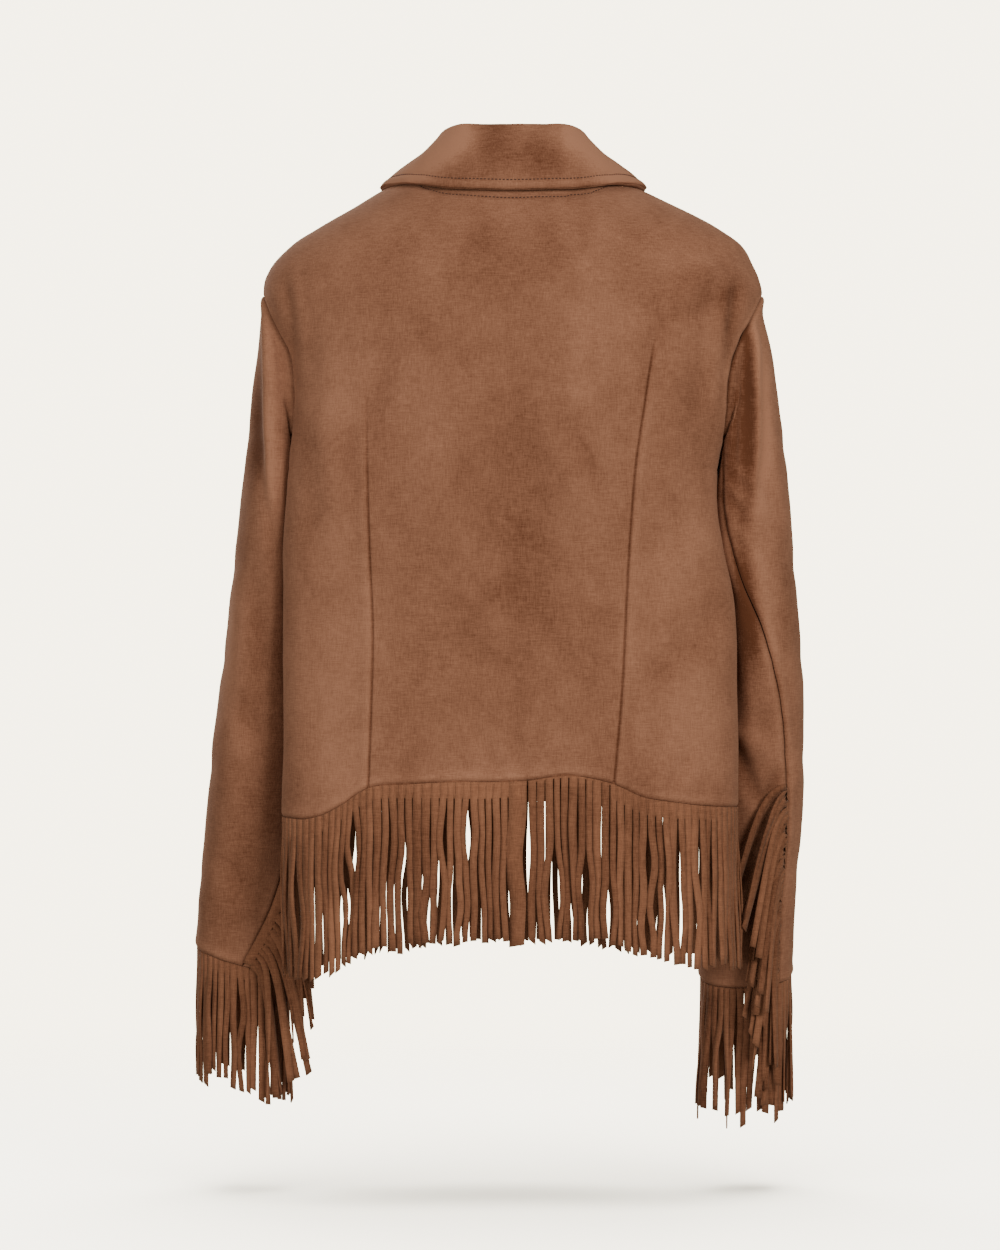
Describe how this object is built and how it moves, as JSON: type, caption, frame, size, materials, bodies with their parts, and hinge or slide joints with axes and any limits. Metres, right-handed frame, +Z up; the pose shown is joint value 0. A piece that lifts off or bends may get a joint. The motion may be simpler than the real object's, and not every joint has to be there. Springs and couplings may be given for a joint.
{
  "type": "fringed buckskin jacket",
  "caption": "Short collared suede jacket, hollow as worn, with long sleeves and cut fringe at the hem, cuffs and forearm seams.",
  "frame": {"origin": "centre of the neck opening, at the height of the back neck seam, where a wearer's shoulders hold the jacket up", "axes": "+Z up, -Y towards the jacket's front, +X towards the wearer's left"},
  "size_m": [0.5282, 0.2186, 0.8444],
  "materials": {
    "suede": "matt napped suede, cloudy camel brown",
    "suede_fringe": "matt napped suede cut into narrow strands"
  },
  "bodies": {
    "root": {"back": "suede", "front_left": "suede", "front_right": "suede", "sleeve_left_top": "suede", "sleeve_left_under": "suede", "sleeve_right_top": "suede", "sleeve_right_under": "suede", "collar_stand": "suede", "collar_under": "suede", "collar_upper": "suede", "hem_fringe_left": "suede_fringe", "hem_fringe_right": "suede_fringe", "cuff_fringe_left": "suede_fringe", "cuff_fringe_right": "suede_fringe", "sleeve_fringe_left": "suede_fringe", "sleeve_fringe_right": "suede_fringe"}
  },
  "joints": []
}
